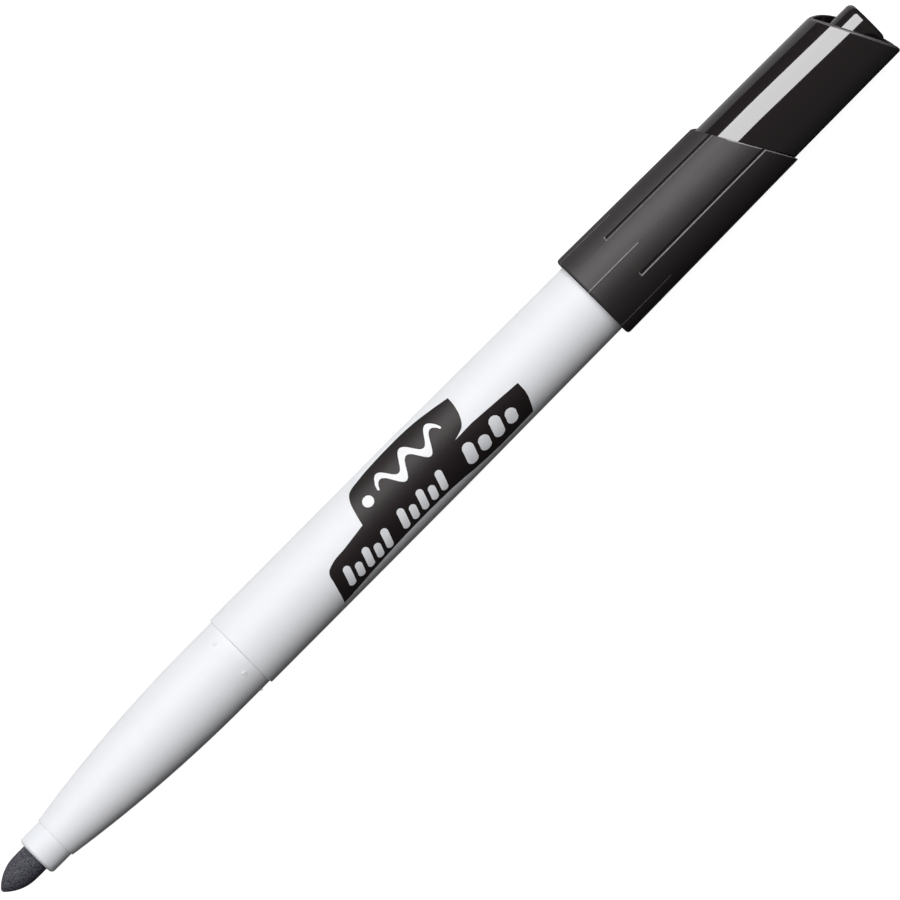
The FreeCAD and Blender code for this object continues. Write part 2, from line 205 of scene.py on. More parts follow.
def pick(piece, kind, wanted):
    """Select the faces by their middle, or the edges or points by their ends, in edit mode."""
    bpy.ops.mesh.select_mode(type=kind)
    bpy.ops.mesh.select_all(action="DESELECT")
    mesh = bmesh.from_edit_mesh(piece.data)
    if kind == "FACE":
        for face in mesh.faces:
            face.select = wanted(*polar(face.calc_center_median()))
    elif kind == "EDGE":
        for edge in mesh.edges:
            edge.select = all(wanted(*polar(end.co)) for end in edge.verts)
    else:
        for point in mesh.verts:
            point.select = wanted(*polar(point.co))
    mesh.select_flush_mode()
    bmesh.update_edit_mesh(piece.data)


def arc_to(start, end, steps):
    """Points after start on a circular arc that levels out along the axis at end."""
    (x1, r1), (x2, r2) = start, end
    radius = ((x2 - x1) ** 2 + (r2 - r1) ** 2) / (2 * (r2 - r1))
    sweep = math.asin((x2 - x1) / radius)
    points = []
    for step in range(1, steps + 1):
        left = sweep * (1 - step / steps)
        points.append((x2 - radius * math.sin(left), r2 - radius * (1 - math.cos(left))))
    return points


def line_to(start, end, steps):
    """Evenly spaced points after start on the way to end."""
    points = []
    for step in range(1, steps + 1):
        share = step / steps
        x = start[0] + (end[0] - start[0]) * share
        radius = start[1] + (end[1] - start[1]) * share
        points.append((x, radius))
    return points


def draw_section(name, outline, rounds=()):
    """Draw a half section as a closed outline, one extruded point after another, round its
    named corners and leave it as a wire, open where it runs along the axis."""
    deselect()
    bpy.ops.mesh.primitive_plane_add(size=1.0)
    piece = bpy.context.object
    piece.name = name
    bpy.ops.object.mode_set(mode="EDIT")
    bpy.ops.mesh.select_mode(type="VERT")
    bpy.ops.mesh.merge(type="CENTER")
    pen = Vector((outline[0][0], 0, outline[0][1]))
    bpy.ops.transform.translate(value=pen)
    for x, radius in outline[1:]:
        target = Vector((x, 0, radius))
        bpy.ops.mesh.extrude_region_move(TRANSFORM_OT_translate={"value": target - pen})
        pen = target
    bpy.ops.mesh.select_all(action="SELECT")
    bpy.ops.mesh.edge_face_add()
    for corner, size, steps in rounds:
        pick(piece, "VERT", lambda x, radius, turn: near(x, corner[0]) and near(radius, corner[1]))
        bpy.ops.mesh.bevel(affect="VERTICES", offset=size, segments=steps)
    bpy.ops.mesh.select_all(action="SELECT")
    bpy.ops.mesh.delete(type="ONLY_FACE")
    pick(piece, "EDGE", lambda x, radius, turn: near(radius, 0))
    bpy.ops.mesh.delete(type="EDGE")
    return piece


def turn_round(piece):
    """Spin the half section about the marker's axis into a closed piece, still in edit mode."""
    bpy.ops.mesh.select_all(action="SELECT")
    bpy.ops.mesh.spin(steps=SIDES, angle=math.tau, center=(0, 0, 0), axis=(1, 0, 0))
    bpy.ops.mesh.select_all(action="SELECT")
    bpy.ops.mesh.remove_doubles(threshold=CLOSE / 4)
    bpy.ops.mesh.normals_make_consistent(inside=False)
    return piece


def turned(name, outline, rounds=()):
    return turn_round(draw_section(name, outline, rounds))


def soften(size, steps=2):
    """Bevel the picked edges."""
    bpy.ops.mesh.bevel(affect="EDGES", offset=size, segments=steps)


def paint_highlight(piece, finish=1):
    """Give the picked faces another of the piece's materials: a painted highlight on its edges."""
    mesh = bmesh.from_edit_mesh(piece.data)
    for face in mesh.faces:
        if face.select:
            face.material_index = finish
    bmesh.update_edit_mesh(piece.data)


def raise_faces(scale):
    """Extrude the picked faces and scale the new ones to or from the axis."""
    bpy.ops.mesh.extrude_region_move()
    bpy.ops.transform.resize(value=(1, scale, scale), center_override=(0, 0, 0))


def cut_back(cut, radius, turn):
    """How far a slanted end lies behind the square one, at a radius and turn."""
    setback, fall, stand_out = cut
    side = radius * math.sin(math.radians(turn))
    height = radius * math.cos(math.radians(turn))
    back = setback - fall * side + stand_out * (1 - side / SLANT_EASE) * min(height, 0.0)
    return max(0.0, back)


def slant(piece, end, cut, draft, outer_from):
    """Slide the points of a square end back to a slanted cut. Those outside outer_from follow
    the tapering outer wall."""
    mesh = bmesh.from_edit_mesh(piece.data)
    for point in mesh.verts:
        x, radius, turn = polar(point.co)
        if near(x, end):
            back = cut_back(cut, radius, turn)
            point.co.x -= back
            if radius > outer_from:
                grow = (radius + draft * back) / radius
                point.co.y *= grow
                point.co.z *= grow
    bmesh.update_edit_mesh(piece.data)


def finish_piece(piece, materials, slot, body, *nodes):
    """Bring a piece to metres at the marker's axis, shade it, and give it finish and body."""
    deselect()
    for material in materials:
        piece.data.materials.append(material)
    piece.select_set(True)
    bpy.context.view_layer.objects.active = piece
    piece.scale = (MM, MM, MM)
    piece.location.z = AXIS_HEIGHT
    bpy.ops.object.transform_apply(location=True, rotation=True, scale=True)
    bpy.ops.object.shade_smooth_by_angle(angle=math.radians(SMOOTH_ANGLE))
    if nodes:
        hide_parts(*nodes)
    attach(piece, body)


# ---------------------------------------------------------------- materials

# the sockets of a colour Mix node share their names, so they go by number
COLOUR_A = 6
COLOUR_B = 7
COLOUR_OUT = 2


def srgb(code):
    """A colour written as an sRGB hex value, as linear values."""
    channels = [int(code[place:place + 2], 16) / 255 for place in (1, 3, 5)]
    linear = [c / 12.92 if c <= 0.04045 else ((c + 0.055) / 1.055) ** 2.4 for c in channels]
    return (*linear, 1.0)


def per(size):
    """Scale of a pattern whose features are that many millimetres across."""
    return 1000 / size


def feed(material, node, inputs):
    """Set a node's inputs, or link those that come from another node."""
    for name, value in inputs.items():
        if isinstance(value, bpy.types.NodeSocket):
            material.node_tree.links.new(value, node.inputs[name])
        else:
            node.inputs[name].default_value = value


def add(material, kind, inputs, **settings):
    """Add a node, set what the settings say, and feed its inputs."""
    node = material.node_tree.nodes.new(kind)
    for name, value in settings.items():
        setattr(node, name, value)
    feed(material, node, inputs)
    return node


def new_material(name):
    """A material with only a plain shader, its output and the object's own coordinates."""
    material = bpy.data.materials.new(name)
    material.use_nodes = True
    shader = material.node_tree.nodes["Principled BSDF"]
    place = add(material, "ShaderNodeTexCoord", {}).outputs["Object"]
    return material, shader, place


def moulded_white(name, tone, shade, rough):
    """White polypropylene, injection moulded in a polished tool: it gives the eye a soft even
    white with a broad sheen, faint flow clouds and a very shallow orange peel."""
    material, shader, place = new_material(name)
    flow = add(material, "ShaderNodeMapping", {"Vector": place, "Scale": (0.35, 1.0, 1.0)})
    cloud = add(material, "ShaderNodeTexNoise",
                {"Vector": flow.outputs["Vector"], "Scale": per(7), "Detail": 3.0})
    peel = add(material, "ShaderNodeTexNoise", {"Vector": place, "Scale": per(0.9), "Detail": 2.0})
    grain = add(material, "ShaderNodeTexNoise", {"Vector": place, "Scale": per(0.12), "Detail": 2.0})
    white = add(material, "ShaderNodeMix",
                {"Factor": cloud.outputs["Fac"], COLOUR_A: srgb(tone), COLOUR_B: srgb(shade)},
                data_type="RGBA")
    sheen = add(material, "ShaderNodeMapRange",
                {"Value": peel.outputs["Fac"], "To Min": rough - 0.03, "To Max": rough + 0.05})
    relief = add(material, "ShaderNodeMath", {0: peel.outputs["Fac"], 1: grain.outputs["Fac"]},
                 operation="ADD")
    bump = add(material, "ShaderNodeBump",
               {"Height": relief.outputs[0], "Strength": 0.05, "Distance": 0.0002})
    feed(material, shader, {
        "Base Color": white.outputs[COLOUR_OUT],
        "Roughness": sheen.outputs["Result"],
        "IOR": 1.49,
        "Specular IOR Level": 0.14,
        "Normal": bump.outputs["Normal"],
    })
    return material


def satin_black():
    """Black polypropylene from a spark-eroded tool: fine even grain breaks the light up into a
    soft grey sheen."""
    material, shader, place = new_material("satin_black_polypropylene")
    grain = add(material, "ShaderNodeTexNoise", {"Vector": place, "Scale": per(0.11), "Detail": 3.0})
    blotch = add(material, "ShaderNodeTexNoise", {"Vector": place, "Scale": per(3), "Detail": 4.0})
    black = add(material, "ShaderNodeMix",
                {"Factor": blotch.outputs["Fac"], COLOUR_A: srgb("#1E191A"), COLOUR_B: srgb("#252021")},
                data_type="RGBA")
    sheen = add(material, "ShaderNodeMapRange",
                {"Value": grain.outputs["Fac"], "To Min": 0.54, "To Max": 0.64})
    bump = add(material, "ShaderNodeBump",
               {"Height": grain.outputs["Fac"], "Strength": 0.16, "Distance": 0.00006})
    feed(material, shader, {
        "Base Color": black.outputs[COLOUR_OUT],
        "Roughness": sheen.outputs["Result"],
        "IOR": 1.49,
        "Specular IOR Level": 0.205,
        "Normal": bump.outputs["Normal"],
    })
    return material


def painted_highlight_black(name, tone, shade):
    """The same black plastic, paler, for a painted highlight on moulded edges and fine ridges: a
    thin pale line painted where these edges catch the light."""
    material, shader, place = new_material(name)
    # painted highlight: a noise varies its pale grey and its roughness
    highlight_mottle = add(material, "ShaderNodeTexNoise", {"Vector": place, "Scale": per(0.5), "Detail": 3.0})
    grey = add(material, "ShaderNodeMix",
               {"Factor": highlight_mottle.outputs["Fac"], COLOUR_A: srgb(tone), COLOUR_B: srgb(shade)},
               data_type="RGBA")
    sheen = add(material, "ShaderNodeMapRange",
                {"Value": highlight_mottle.outputs["Fac"], "To Min": 0.35, "To Max": 0.5})
    feed(material, shader, {
        "Base Color": grey.outputs[COLOUR_OUT],
        "Roughness": sheen.outputs["Result"],
        "IOR": 1.49,
        "Specular IOR Level": 0.24,
    })
    return material


def gloss_black(name, tone, shade):
    """Black polystyrene from a mirror-polished tool: hard-edged reflections with hardly any
    ripple, and faint handling haze."""
    material, shader, place = new_material(name)
    ripple = add(material, "ShaderNodeTexNoise", {"Vector": place, "Scale": per(2.4), "Detail": 1.0})
    haze = add(material, "ShaderNodeTexNoise", {"Vector": place, "Scale": per(0.25), "Detail": 3.0})
    black = add(material, "ShaderNodeMix",
                {"Factor": haze.outputs["Fac"], COLOUR_A: srgb(tone), COLOUR_B: srgb(shade)},
                data_type="RGBA")
    polish = add(material, "ShaderNodeMapRange",
                 {"Value": haze.outputs["Fac"], "To Min": 0.03, "To Max": 0.07})
    bump = add(material, "ShaderNodeBump",
               {"Height": ripple.outputs["Fac"], "Strength": 0.02, "Distance": 0.0001})
    feed(material, shader, {
        "Base Color": black.outputs[COLOUR_OUT],
        "Roughness": polish.outputs["Result"],
        "IOR": 1.55,
        "Normal": bump.outputs["Normal"],
    })
    return material


def inked_felt():
    """Bonded polyester fibre soaked in black ink: matt, blue-grey, with pale and dark flecks
    drawn out along the nib."""
    material, shader, place = new_material("inked_polyester_felt")
    along = add(material, "ShaderNodeMapping", {"Vector": place, "Scale": (0.45, 1.0, 1.0)})
    fleck = add(material, "ShaderNodeTexNoise",
                {"Vector": along.outputs["Vector"], "Scale": per(0.13), "Detail": 2.0,
                 "Roughness": 0.7})
    patch = add(material, "ShaderNodeTexNoise", {"Vector": place, "Scale": per(1.1), "Detail": 2.0})
    contrast = add(material, "ShaderNodeMapRange",
                   {"Value": fleck.outputs["Fac"], "From Min": 0.4, "From Max": 0.6})
    flecks = add(material, "ShaderNodeMix",
                 {"Factor": contrast.outputs["Result"], COLOUR_A: srgb("#131318"),
                  COLOUR_B: srgb("#60606A")}, data_type="RGBA")
    patches = add(material, "ShaderNodeMix",
                  {"Factor": patch.outputs["Fac"], COLOUR_A: srgb("#8C8CA6"),
                   COLOUR_B: srgb("#FFFFFF")}, data_type="RGBA")
    ink = add(material, "ShaderNodeMix",
              {"Factor": 0.6, COLOUR_A: flecks.outputs[COLOUR_OUT],
               COLOUR_B: patches.outputs[COLOUR_OUT]}, data_type="RGBA", blend_type="MULTIPLY")
    bump = add(material, "ShaderNodeBump",
               {"Height": fleck.outputs["Fac"], "Strength": 0.8, "Distance": 0.00006})
    feed(material, shader, {
        "Base Color": ink.outputs[COLOUR_OUT],
        "Roughness": 0.85,
        "IOR": 1.45,
        "Specular IOR Level": 0.25,
        "Normal": bump.outputs["Normal"],
    })
    return material


def reservoir_fibre():
    """Crimped polyester fibre wetted with ink: grey-black strands along the reservoir."""
    material, shader, place = new_material("ink_soaked_fibre")
    along = add(material, "ShaderNodeMapping", {"Vector": place, "Scale": (0.06, 1.0, 1.0)})
    strand = add(material, "ShaderNodeTexNoise",
                 {"Vector": along.outputs["Vector"], "Scale": per(0.16), "Detail": 4.0})
    grey = add(material, "ShaderNodeMix",
               {"Factor": strand.outputs["Fac"], COLOUR_A: srgb("#17171C"), COLOUR_B: srgb("#4A4A55")},
               data_type="RGBA")
    bump = add(material, "ShaderNodeBump",
               {"Height": strand.outputs["Fac"], "Strength": 0.7, "Distance": 0.0001})
    feed(material, shader, {
        "Base Color": grey.outputs[COLOUR_OUT],
        "Roughness": 0.8,
        "IOR": 1.5,
        "Normal": bump.outputs["Normal"],
    })
    return material


def drawn_plastic(name, tone, shade, rough):
    """Thin extruded film or tube: milky, lightly glossy, with draw lines along it."""
    material, shader, place = new_material(name)
    along = add(material, "ShaderNodeMapping", {"Vector": place, "Scale": (0.03, 1.0, 1.0)})
    draw = add(material, "ShaderNodeTexNoise",
               {"Vector": along.outputs["Vector"], "Scale": per(0.4), "Detail": 3.0})
    milk = add(material, "ShaderNodeMix",
               {"Factor": draw.outputs["Fac"], COLOUR_A: srgb(tone), COLOUR_B: srgb(shade)},
               data_type="RGBA")
    bump = add(material, "ShaderNodeBump",
               {"Height": draw.outputs["Fac"], "Strength": 0.25, "Distance": 0.00005})
    feed(material, shader, {
        "Base Color": milk.outputs[COLOUR_OUT],
        "Roughness": rough,
        "IOR": 1.5,
        "Normal": bump.outputs["Normal"],
    })
    return material


def screen_ink(name, tone, shade, rough, specular):
    """Screen-printed ink, cured on the barrel: a thin even film, slightly uneven in tone, with
    the fine mesh of the screen just visible in its sheen."""
    material, shader, place = new_material(name)
    mottle = add(material, "ShaderNodeTexNoise", {"Vector": place, "Scale": per(1.2), "Detail": 4.0})
    screen = add(material, "ShaderNodeTexNoise", {"Vector": place, "Scale": per(0.1), "Detail": 1.0})
    ink = add(material, "ShaderNodeMix",
              {"Factor": mottle.outputs["Fac"], COLOUR_A: srgb(tone), COLOUR_B: srgb(shade)},
              data_type="RGBA")
    sheen = add(material, "ShaderNodeMapRange",
                {"Value": screen.outputs["Fac"], "To Min": rough - 0.04, "To Max": rough + 0.06})
    bump = add(material, "ShaderNodeBump",
               {"Height": screen.outputs["Fac"], "Strength": 0.12, "Distance": 0.00004})
    feed(material, shader, {
        "Base Color": ink.outputs[COLOUR_OUT],
        "Roughness": sheen.outputs["Result"],
        "Specular IOR Level": specular,
        "Normal": bump.outputs["Normal"],
    })
    return material


BARREL_WHITE = moulded_white("barrel_white_polypropylene", "#ECEDF1", "#F0F1F4", rough=0.58)
SECTION_WHITE = moulded_white("section_white_polypropylene", "#ECEDF1", "#F0F1F4", rough=0.58)
COLLAR_WHITE = moulded_white("collar_white_polypropylene", "#EAECF1", "#EEF0F4", rough=0.58)
PLUG_WHITE = moulded_white("plug_white_polyethylene", "#E2E5EA", "#EAECF0", rough=0.60)
SLEEVE_BLACK = satin_black()
# painted highlights: paler greys on the sleeve's rim, slot edges and witness lines, and on the shell's
# rim
SLEEVE_EDGE_HIGHLIGHT = painted_highlight_black("sleeve_edge_painted_highlight", "#858182", "#939091")
SLEEVE_WITNESS_HIGHLIGHT = painted_highlight_black("sleeve_witness_line_painted_highlight", "#6C6869", "#787475")
SHELL_RIM_HIGHLIGHT = painted_highlight_black("shell_rim_painted_highlight", "#575354", "#656162")
SHELL_BLACK = gloss_black("shell_gloss_black_styrene", "#1A1415", "#1D1718")
LINER_BLACK = gloss_black("liner_gloss_black_styrene", "#1A1415", "#1E1819")
NIB_FELT = inked_felt()
FIBRE = reservoir_fibre()
FILM = drawn_plastic("clear_polypropylene_film", "#B9BEC6", "#D5D9DF", rough=0.22)
BREATHER = drawn_plastic("breather_polyethylene_tube", "#D9DCE0", "#ECEEF0", rough=0.35)
PANEL_INK = screen_ink("black_screen_ink", "#1B1617", "#211B1C", rough=0.5, specular=0.1)
SILVER_INK = screen_ink("silver_screen_ink", "#E4E6EA", "#F0F1F4", rough=0.45, specular=0.2)
WHITE_INK = screen_ink("white_screen_ink", "#EEEEF0", "#F6F6F8", rough=0.45, specular=0.1)


# ---------------------------------------------------------------- nib and collar

def make_nib():
    """A bullet of bonded fibre, closely ringed where it shows, with its fibres raised."""
    tip = (nib_tip, NIB_TIP_FLAT)
    shoulder = (nib_tip + NIB_OGIVE, NIB_RADIUS)
    mouth = (collar_front + COLLAR_LEAD_IN * 2, NIB_RADIUS)
    outline = [(nib_tip, 0), tip]
    outline += arc_to(tip, shoulder, NIB_OGIVE_RINGS)
    outline += line_to(shoulder, mouth, NIB_BODY_RINGS)
    outline += [
        (nib_tail - NIB_TAIL_LEAD, NIB_RADIUS),
        (nib_tail, NIB_RADIUS - NIB_TAIL_LEAD),
        (nib_tail, 0),
    ]
    piece = turned("nib_felt_rod", outline, [(tip, NIB_TIP_ROUND, 4)])
    mesh = bmesh.from_edit_mesh(piece.data)
    for point in mesh.verts:
        x, radius, turn = polar(point.co)
        if radius > NIB_TIP_FLAT / 2 and x < collar_front:
            place = Vector((x * FIBRE_ALONG, point.co.y * FIBRE_ACROSS, point.co.z * FIBRE_ACROSS))
            fibre = noise.fractal(place, 0.6, 2.0, 3)
            grow = 1 - FIBRE_RELIEF * (0.5 - 0.5 * fibre) / radius
            point.co.y *= grow
            point.co.z *= grow
    bmesh.update_edit_mesh(piece.data)
    finish_piece(piece, [NIB_FELT], "nib_felt", "marker", "nib")


def make_collar():
    """The flange closes the section's nose, and its grooved shank grips the nib."""
    front_edge = (collar_front, COLLAR_RADIUS)
    mouth = (collar_front, NIB_RADIUS)
    piece = turned("nib_collar_ring", [
        mouth,
        front_edge,
        (section_front, COLLAR_RADIUS),
        (section_front, SHANK_RADIUS),
        (shank_end, SHANK_RADIUS),
        (shank_end, NIB_RADIUS),
    ], [(front_edge, COLLAR_ROUND, 6), (mouth, COLLAR_LEAD_IN, 1)])
    middle = (section_front + shank_end) / 2
    pick(piece, "FACE", lambda x, radius, turn: near(x, middle, LOOSELY)
         and near(radius, SHANK_RADIUS, LOOSELY)
         and off_turn(turn, VENT_ANGLE / 2, VENT_COUNT) < VENT_ANGLE / 2)
    raise_faces((SHANK_RADIUS - VENT_DEPTH) / SHANK_RADIUS)
    finish_piece(piece, [COLLAR_WHITE], "section_white", "marker", "nib_collar")


# ---------------------------------------------------------------- section and barrel

def make_section():
    """A writing section that swells in one arc and levels out, with snap beads at its rear."""
    nose = (section_front, SECTION_NOSE_RADIUS)
    level = (barrel_front - SECTION_STRAIGHT, SECTION_RADIUS)
    bead = barrel_front - BEAD_SETBACK
    piece = turned("writing_section", [
        (section_front, SHANK_RADIUS),
        nose,
        *arc_to(nose, level, SECTION_RINGS),
        (bead - BEAD_WIDTH / 2, SECTION_RADIUS),
        (bead + BEAD_WIDTH / 2, SECTION_RADIUS),
        (barrel_front, SECTION_RADIUS),
        (barrel_front, BARREL_BORE),
        (spigot_end, BARREL_BORE),
        (spigot_end, SPIGOT_BORE),
        (shank_end + SECTION_CONE, SPIGOT_BORE),
        (shank_end, SHANK_RADIUS),
    ], [(nose, SECTION_NOSE_ROUND, 3)])
    pick(piece, "FACE", lambda x, radius, turn: near(x, bead, LOOSELY)
         and radius > BARREL_BORE + LOOSELY
         and off_turn(turn, BEAD_TURN, BEAD_COUNT) < BEAD_HALF_ANGLE)
    raise_faces((SECTION_RADIUS + BEAD_HEIGHT) / SECTION_RADIUS)
    bpy.ops.transform.resize(value=(BEAD_TOP_SHARE, 1, 1), center_override=(bead, 0, 0))
    finish_piece(piece, [SECTION_WHITE], "section_white", "marker", "front_section")


def make_barrel():
    """The tube, parallel in front and drafted behind so that the posted cap wedges on it."""
    front_edge = (barrel_front, BARREL_RADIUS)
    rear_edge = (barrel_rear, BARREL_TAIL_RADIUS)
    piece = turned("barrel_tube", [
        (barrel_front, BARREL_BORE),
        front_edge,
        (taper_start, BARREL_RADIUS),
        rear_edge,
        (barrel_rear, BARREL_BORE),
    ], [(front_edge, BARREL_EDGE_ROUND, 3), (rear_edge, BARREL_EDGE_ROUND, 3)])
    finish_piece(piece, [BARREL_WHITE], "barrel_white", "marker", "barrel")


# ---------------------------------------------------------------- cap

def make_sleeve():
    """The cap's outer skirt: drafted, with six grip slots that run out through a slanted rim
    and six fine raised witness lines at the mouth."""
    lip = (cap_mouth, SLEEVE_MOUTH_RADIUS)
    mouth = (cap_mouth, SLEEVE_BORE)
    slot_place = cap_mouth + SLOT_START
    witness_place = cap_mouth + WITNESS_LENGTH

    def outer(x):
        return SLEEVE_MOUTH_RADIUS - SLEEVE_DRAFT * (x - cap_mouth)

    def off_slot(turn):
        return off_turn(turn, SLOT_TURN, SLOT_COUNT)

    def rim_place(radius, turn):
        return sleeve_end - cut_back(SLEEVE_SLANT, radius, turn)

    def on_witness(turn):
        return off_turn(turn, WITNESS_TURN, WITNESS_COUNT) < SAME_TURN

    piece = turned("cap_sleeve_skirt", [
        mouth,
        lip,
        (slot_place, outer(slot_place)),
        (witness_place, outer(witness_place)),
        (sleeve_end, SLEEVE_RIM_RADIUS),
        (sleeve_end, SLEEVE_RIM_RADIUS - SLOT_DEPTH),
        (sleeve_end, SHELL_RADIUS),
        (shell_seat, SHELL_RADIUS),
        (shell_seat, SLEEVE_BORE),
    ], [(lip, SLEEVE_LIP_ROUND, 6), (mouth, SLEEVE_LEAD_IN, 2)])
    for side in (-1, 1):
        mesh = bmesh.from_edit_mesh(piece.data)
        swing = Matrix.Rotation(math.radians(side * (SLOT_HALF_ANGLE - COLUMN / 2)), 3, "X")
        for point in mesh.verts:
            if off_turn(polar(point.co)[2], SLOT_TURN + side * COLUMN / 2, SLOT_COUNT) < SAME_TURN:
                point.co = swing @ point.co
        bmesh.update_edit_mesh(piece.data)

    pick(piece, "FACE", lambda x, radius, turn: slot_place < x < sleeve_end - LOOSELY
         and radius > outer(x) - ROUGHLY and off_slot(turn) < COLUMN / 2)
    raise_faces((SLEEVE_RIM_RADIUS - SLOT_DEPTH) / SLEEVE_RIM_RADIUS)
    pick(piece, "FACE", lambda x, radius, turn: near(x, sleeve_end)
         and near(radius, SLEEVE_RIM_RADIUS - SLOT_DEPTH / 2, ROUGHLY)
         and off_slot(turn) < COLUMN / 2)
    bpy.ops.mesh.delete(type="FACE")
    bpy.ops.mesh.select_all(action="SELECT")
    bpy.ops.mesh.remove_doubles(threshold=CLOSE / 4)

    slant(piece, sleeve_end, SLEEVE_SLANT, SLEEVE_DRAFT, SHELL_RADIUS + LOOSELY)

    def on_rim_or_slot(x, radius, turn):
        """The rim's high side, and each slot's front end and lit side, for the painted highlight."""
        outside = near(radius, outer(x), ON_WALL)
        at_rim = near(x, rim_place(radius, turn), ON_RIM)
        lit_side = off_turn(turn, SLOT_TURN + SLOT_HALF_ANGLE, SLOT_COUNT) < SAME_TURN
        along_slot = lit_side and x > slot_place - CLOSE
        across_slot = near(x, slot_place) and off_slot(turn) < SLOT_HALF_ANGLE + SAME_TURN
        return outside and (at_rim or along_slot or across_slot)

    pick(piece, "EDGE", on_rim_or_slot)
    soften(SLOT_EDGE_ROUND)
    # painted highlight: the rounded rim and slot edges get a paler grey where they catch the light
    paint_highlight(piece)

    lip_bottom = SLEEVE_MOUTH_RADIUS - SLEEVE_LIP_ROUND - CLOSE
    pick(piece, "EDGE", lambda x, radius, turn: radius > lip_bottom
         and x < witness_place + CLOSE and on_witness(turn))
    soften(WITNESS_HALF_WIDTH)
    # painted highlight: the raised witness lines are real, their paler grey stands in for the light
    # they catch
    paint_highlight(piece, 2)
    pick(piece, "VERT", lambda x, radius, turn: on_witness(turn) and radius > outer(x) - ROUGHLY
         and cap_mouth + SLEEVE_LIP_ROUND - ROUGHLY < x < witness_place - CLOSE)
    proud = (SLEEVE_MOUTH_RADIUS + WITNESS_HEIGHT) / SLEEVE_MOUTH_RADIUS
    bpy.ops.transform.resize(value=(1, proud, proud), center_override=(0, 0, 0))
    plastic_and_highlights = [SLEEVE_BLACK, SLEEVE_EDGE_HIGHLIGHT, SLEEVE_WITNESS_HIGHLIGHT]
    finish_piece(piece, plastic_and_highlights, "sleeve_black", "cap", "cap_sleeve")


def make_shell():
    """The glossy tube that stands out of the sleeve, cut off at a slant."""
    piece = turned("cap_shell_tube", [
        (shell_seat, SHELL_BORE),
        (shell_seat, SHELL_RADIUS),
        (sleeve_end, SHELL_RADIUS),
        (shell_end, SHELL_END_RADIUS),
        (shell_end, SHELL_BORE),
    ])
    middle = (SHELL_END_RADIUS + SHELL_BORE) / 2
    slant(piece, shell_end, SHELL_SLANT, SHELL_DRAFT, middle)
    for inside, size in ((True, RIM_INNER_ROUND), (False, RIM_ROUND)):
        pick(piece, "EDGE", lambda x, radius, turn: (radius < middle) == inside
             and near(x, shell_end - cut_back(SHELL_SLANT, radius, turn), ROUGHLY))
        soften(size, 3)
    # painted highlight: the shell's rounded outer rim gets a paler grey where it catches the light
    paint_highlight(piece)
    finish_piece(piece, [SHELL_BLACK, SHELL_RIM_HIGHLIGHT], "shell_black", "cap", "cap_shell")


def make_liner():
    """The inner cap: a skirt that seals on the collar, a closed post and four ribs."""
    skirt_end = liner_mouth + SKIRT_LENGTH
    neck_end = skirt_end + NECK_LENGTH
    floor = post_end - POST_FLOOR
    rib_front = liner_mouth + RIB_START
    rib_rear = rib_front + RIB_LENGTH
    post_edge = (post_end, POST_RADIUS)
    piece = turned("cap_liner_post", [
        (liner_mouth, LINER_BORE),
        (liner_mouth, SKIRT_RADIUS),
        (rib_front, SKIRT_RADIUS),
        (skirt_end, SKIRT_RADIUS),
        (neck_end, POST_RADIUS),
        (rib_rear, POST_RADIUS),
        post_edge,
        (post_end, 0),
        (floor, 0),
        (floor, POST_BORE),
        (neck_end, POST_BORE),
        (skirt_end, LINER_BORE),
    ], [(post_edge, POST_ROUND, 6)])
    pick(piece, "FACE", lambda x, radius, turn: rib_front < x < rib_rear
         and radius > POST_RADIUS - ROUGHLY and off_turn(turn, 0, RIB_COUNT) < RIB_ANGLE / 2)
    bpy.ops.mesh.extrude_region_move()
    mesh = bmesh.from_edit_mesh(piece.data)
    for point in mesh.verts:
        if point.select:
            grow = SHELL_BORE / polar(point.co)[1]
            point.co.y *= grow
            point.co.z *= grow
    bmesh.update_edit_mesh(piece.data)
    finish_piece(piece, [LINER_BLACK], "liner_black", "cap", "cap_liner")


make_nib()
make_collar()
make_section()
make_barrel()
make_sleeve()
make_shell()
make_liner()

for node, material in [
    ("rear_plug", PLUG_WHITE),
    ("ink_reservoir", FIBRE),
    ("reservoir_film", FILM),
    ("breather_tube", BREATHER),
]:
    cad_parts[node].data.materials.clear()
    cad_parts[node].data.materials.append(material)


# ---------------------------------------------------------------- print on the barrel

def flat_outline(name, outlines):
    """Fill closed outlines, drawn flat as points of (x, s, kind): s runs round the barrel
    towards -Y, and a point is a corner or is rounded."""
    curve = bpy.data.curves.new(name, "CURVE")
    curve.dimensions = "2D"
    curve.fill_mode = "BOTH"
    curve.resolution_u = 6
    for outline in outlines:
        spline = curve.splines.new("BEZIER")
        spline.bezier_points.add(len(outline) - 1)
        for point, (x, s, kind) in zip(spline.bezier_points, outline):
            point.co = (x - PRINT_SETBACK, -s, 0)
            point.handle_left_type = kind
            point.handle_right_type = kind
        spline.use_cyclic_u = True
    piece = bpy.data.objects.new(name, curve)
    bpy.context.scene.collection.objects.link(piece)
    deselect()
    piece.select_set(True)
    bpy.context.view_layer.objects.active = piece
    bpy.ops.object.convert(target="MESH")
    return bpy.context.object


